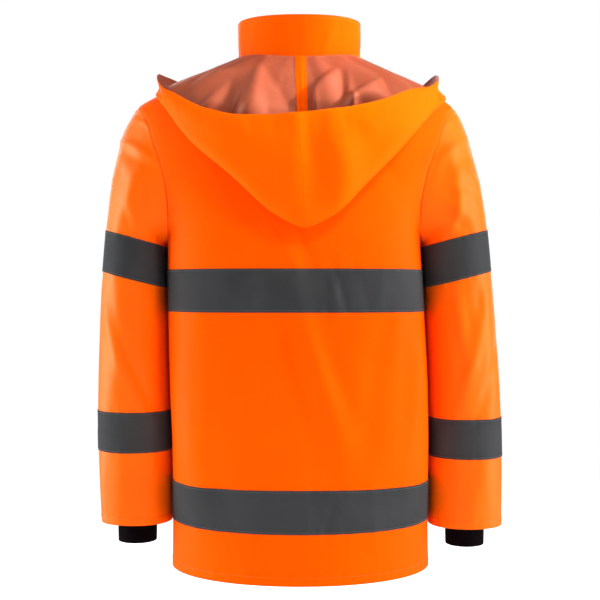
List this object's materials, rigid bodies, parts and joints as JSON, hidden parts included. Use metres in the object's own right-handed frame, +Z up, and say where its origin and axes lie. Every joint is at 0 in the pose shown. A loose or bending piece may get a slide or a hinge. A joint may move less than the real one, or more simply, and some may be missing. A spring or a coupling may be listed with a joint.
{
  "type": "hi-vis work jacket",
  "caption": "Worn-shape orange hi-vis work jacket with grey reflective bands, stand collar, knit cuffs, front zip and a hood hanging down the back.",
  "frame": {"origin": "middle of the neck opening, level with the seam at the back of the neck, where the wearer's neck and shoulders hold the jacket", "axes": "+Z up, the front faces -Y, the wearer's left is +X"},
  "size_m": [0.7065, 0.3612, 0.9345],
  "materials": {
    "orange_shell": "fluorescent orange coated woven polyester, satin",
    "hood_cloth": "fluorescent orange outside, paler peach coating inside, satin",
    "reflective_tape": "dark grey glass-bead reflective tape",
    "black_knit": "black rib knit",
    "zip_cloth": "black woven zip tape",
    "zip_metal": "dark satin"
  },
  "bodies": {
    "jacket": {"back_panel": "orange_shell", "front_left": "orange_shell", "front_right": "orange_shell", "sleeve_left": "orange_shell", "sleeve_right": "orange_shell", "collar": "orange_shell", "hood_left": "hood_cloth", "hood_right": "hood_cloth", "hood_seam_tape": "orange_shell", "tape_upper_back": "reflective_tape", "tape_upper_front_left": "reflective_tape", "tape_upper_front_right": "reflective_tape", "tape_lower_back": "reflective_tape", "tape_lower_front_left": "reflective_tape", "tape_lower_front_right": "reflective_tape", "tape_sleeve_left_upper": "reflective_tape", "tape_sleeve_left_lower": "reflective_tape", "tape_sleeve_right_upper": "reflective_tape", "tape_sleeve_right_lower": "reflective_tape", "cuff_left": "black_knit", "cuff_right": "black_knit", "zip_tape_left": "zip_cloth", "zip_tape_right": "zip_cloth", "zip_slider": "zip_metal"},
    "pull": {"zip_pull": "zip_metal"}
  },
  "joints": [
    {"name": "pull_swing", "type": "hinge", "parent": "jacket", "child": "pull", "pos_m": [0, -0.10833, -0.01054], "axis": [-1, 0, 0], "range_deg": [0, 160]}
  ]
}
